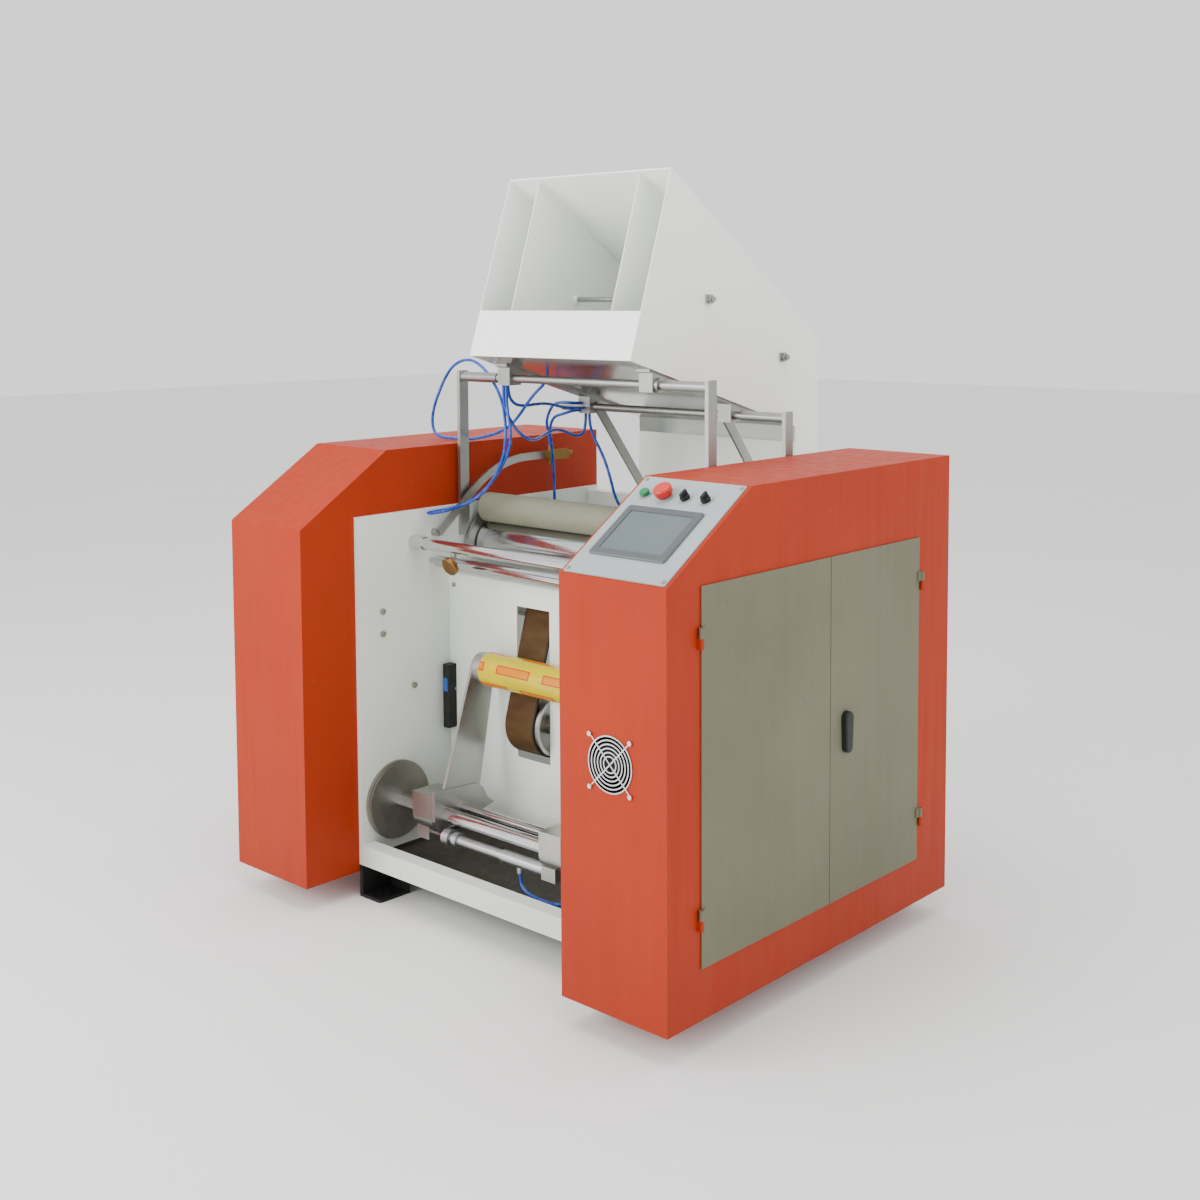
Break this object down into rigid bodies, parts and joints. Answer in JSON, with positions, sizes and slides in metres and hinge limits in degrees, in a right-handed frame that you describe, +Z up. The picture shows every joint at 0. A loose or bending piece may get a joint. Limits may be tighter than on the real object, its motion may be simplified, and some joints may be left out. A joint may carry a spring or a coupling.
{
  "type": "film rewinding machine",
  "caption": "Film rewinding machine with two sheet-steel cabinets, roller nip, swinging roll arms, surface drive belt and a raised core hopper.",
  "frame": {"origin": "on the floor, at the centre of the four floor-bolt holes in the feet, midway between the side plates", "axes": "+X to the right cabinet seen from the front, +Y from the front to the rear, +Z up"},
  "size_m": [1.4173, 1.131, 1.762],
  "materials": {
    "cabinet_paint": "satin powder coat",
    "white_paint": "satin powder coat",
    "hopper_paint": "satin powder coat",
    "door_paint": "satin powder coat",
    "black_paint": "satin",
    "dark_steel": "matt",
    "grey_paint": "satin",
    "panel_steel": "satin",
    "stainless": "brushed",
    "polished_steel": "polished",
    "chrome": "polished",
    "machined_steel": "turned",
    "aluminium": "satin",
    "brass": "cast",
    "roller_rubber": "ground",
    "belt": "woven",
    "black_rubber": "matt",
    "film": "stretched film",
    "screen": "glossy",
    "black_plastic": "moulded",
    "white_plastic": "moulded",
    "red_plastic": "moulded",
    "green_plastic": "moulded",
    "blue_tube": "extruded"
  },
  "bodies": {
    "frame": {"left_side_plate": "white_paint", "right_side_plate": "white_paint", "cross_beams": "white_paint", "feet": "black_paint", "drip_tray": "dark_steel", "front_panel": "white_paint", "left_cabinet": "cabinet_paint", "right_cabinet": "cabinet_paint", "control_panel": "panel_steel", "touchscreen": "screen", "button_bezels": "chrome", "fan_frame": "black_plastic", "fan_guard": "chrome", "door_surround": "cabinet_paint", "electrical_gear": "white_paint", "hopper_body": "hopper_paint", "hopper_floor": "polished_steel", "hopper_supports": "stainless", "hopper_rods": "stainless", "hopper_mounts": "stainless", "front_guide_bar": "chrome", "surface_belt": "belt", "drive_motor": "grey_paint", "drive_belts": "black_rubber", "shaft_flanges": "machined_steel", "bent_arm": "stainless", "air_blocks": "brass", "web_sensor": "black_plastic", "loop_tube": "blue_tube", "sag_tube": "blue_tube", "cross_tube": "blue_tube", "rear_tube_a": "blue_tube", "rear_tube_b": "blue_tube", "side_tube": "blue_tube"},
    "door_front": {"door_front": "door_paint"},
    "door_rear": {"door_rear": "door_paint"},
    "door_handle": {"door_handle": "black_plastic"},
    "push_button": {"push_button": "green_plastic"},
    "estop_button": {"estop_button": "red_plastic"},
    "selector_left": {"selector_left": "black_plastic"},
    "selector_right": {"selector_right": "black_plastic"},
    "fan_impeller": {"fan_impeller": "black_plastic"},
    "divider_left": {"divider_left": "hopper_paint"},
    "divider_right": {"divider_right": "hopper_paint"},
    "chrome_roller": {"chrome_roller": "chrome"},
    "rubber_roller": {"rubber_roller": "roller_rubber"},
    "nip_arms": {"nip_arms": "machined_steel"},
    "guide_roller": {"guide_roller": "chrome"},
    "belt_roller_upper": {"belt_roller_upper": "machined_steel"},
    "belt_roller_lower": {"belt_roller_lower": "machined_steel"},
    "motor_pulley": {"motor_pulley": "machined_steel"},
    "swing_shaft": {"swing_shaft": "chrome"},
    "left_carriage": {"left_carriage": "machined_steel", "carriage_rods": "chrome"},
    "right_carriage": {"right_carriage": "machined_steel", "grip_cylinder": "aluminium", "cylinder_tube": "blue_tube"},
    "film": {"film_roll": "film", "left_chuck": "aluminium"},
    "right_chuck": {"right_chuck": "aluminium"}
  },
  "joints": [
    {"name": "door_front_hinge", "type": "hinge", "parent": "frame", "child": "door_front", "pos_m": [0.707, -0.495, 0.54], "axis": [0, 0, -1], "range_deg": [0, 110]},
    {"name": "door_rear_hinge", "type": "hinge", "parent": "frame", "child": "door_rear", "pos_m": [0.707, 0.311, 0.54], "axis": [0, 0, 1], "range_deg": [0, 110]},
    {"name": "handle_turn", "type": "hinge", "parent": "door_rear", "child": "door_handle", "pos_m": [0.703, 0.004, 0.563], "axis": [1, 0, 0], "range_deg": [0, 90]},
    {"name": "push_press", "type": "slide", "parent": "frame", "child": "push_button", "axis": [0, 0.54, -0.8417], "range_m": [0, 0.003], "stiffness_N_per_m": 800, "springref_m": -0.002},
    {"name": "estop_press", "type": "slide", "parent": "frame", "child": "estop_button", "axis": [0, 0.54, -0.8417], "range_m": [0, 0.005], "stiffness_N_per_m": 1200, "springref_m": -0.002},
    {"name": "selector_left_turn", "type": "hinge", "parent": "frame", "child": "selector_left", "pos_m": [0.574, -0.37789, 1.06207], "axis": [0, -0.54, 0.8417], "range_deg": [-45, 45]},
    {"name": "selector_right_turn", "type": "hinge", "parent": "frame", "child": "selector_right", "pos_m": [0.627, -0.37789, 1.06207], "axis": [0, -0.54, 0.8417], "range_deg": [-45, 45]},
    {"name": "fan_spin", "type": "hinge", "parent": "frame", "child": "fan_impeller", "pos_m": [0.558, -0.57, 0.566], "axis": [0, 1, 0], "continuous": true},
    {"name": "divider_left_slide", "type": "slide", "parent": "frame", "child": "divider_left", "axis": [-1, 0, 0], "range_m": [-0.06, 0.08]},
    {"name": "divider_right_slide", "type": "slide", "parent": "frame", "child": "divider_right", "axis": [1, 0, 0], "range_m": [-0.06, 0.08]},
    {"name": "chrome_spin", "type": "hinge", "parent": "frame", "child": "chrome_roller", "pos_m": [0, -0.005, 0.833], "axis": [1, 0, 0], "continuous": true},
    {"name": "nip_lift", "type": "hinge", "parent": "frame", "child": "nip_arms", "pos_m": [0, -0.075, 0.836], "axis": [1, 0, 0], "range_deg": [0, 10]},
    {"name": "rubber_spin", "type": "hinge", "parent": "nip_arms", "child": "rubber_roller", "pos_m": [0, -0.01999, 0.92762], "axis": [1, 0, 0], "continuous": true},
    {"name": "guide_spin", "type": "hinge", "parent": "frame", "child": "guide_roller", "pos_m": [0, -0.194, 0.807], "axis": [1, 0, 0], "continuous": true},
    {"name": "motor_spin", "type": "hinge", "parent": "frame", "child": "motor_pulley", "pos_m": [-0.5, 0.1, 0.3], "axis": [1, 0, 0], "continuous": true},
    {"name": "belt_low_spin", "type": "hinge", "parent": "frame", "child": "belt_roller_lower", "pos_m": [0, -0.102, 0.425], "axis": [1, 0, 0], "continuous": true},
    {"name": "belt_high_spin", "type": "hinge", "parent": "frame", "child": "belt_roller_upper", "pos_m": [0, -0.06, 0.68], "axis": [1, 0, 0], "continuous": true},
    {"name": "arms_swing", "type": "hinge", "parent": "frame", "child": "swing_shaft", "pos_m": [0, -0.32, 0.221], "axis": [1, 0, 0], "range_deg": [0, 30]},
    {"name": "left_carriage_slide", "type": "slide", "parent": "swing_shaft", "child": "left_carriage", "axis": [-1, 0, 0], "range_m": [0, 0.05]},
    {"name": "right_carriage_slide", "type": "slide", "parent": "swing_shaft", "child": "right_carriage", "axis": [1, 0, 0], "range_m": [0, 0.06]},
    {"name": "film_spin", "type": "hinge", "parent": "left_carriage", "child": "film", "pos_m": [0, -0.19004, 0.559], "axis": [1, 0, 0], "continuous": true},
    {"name": "right_chuck_spin", "type": "hinge", "parent": "right_carriage", "child": "right_chuck", "pos_m": [0.188, -0.19004, 0.559], "axis": [1, 0, 0], "continuous": true}
  ],
  "couplings": [
    {"joint": "rubber_spin", "follows": "chrome_spin", "ratio": -1.5132},
    {"joint": "motor_spin", "follows": "chrome_spin", "ratio": 1.3655},
    {"joint": "belt_low_spin", "follows": "chrome_spin", "ratio": 1.1057},
    {"joint": "belt_high_spin", "follows": "chrome_spin", "ratio": 1.807},
    {"joint": "right_chuck_spin", "follows": "film_spin", "ratio": 1}
  ]
}
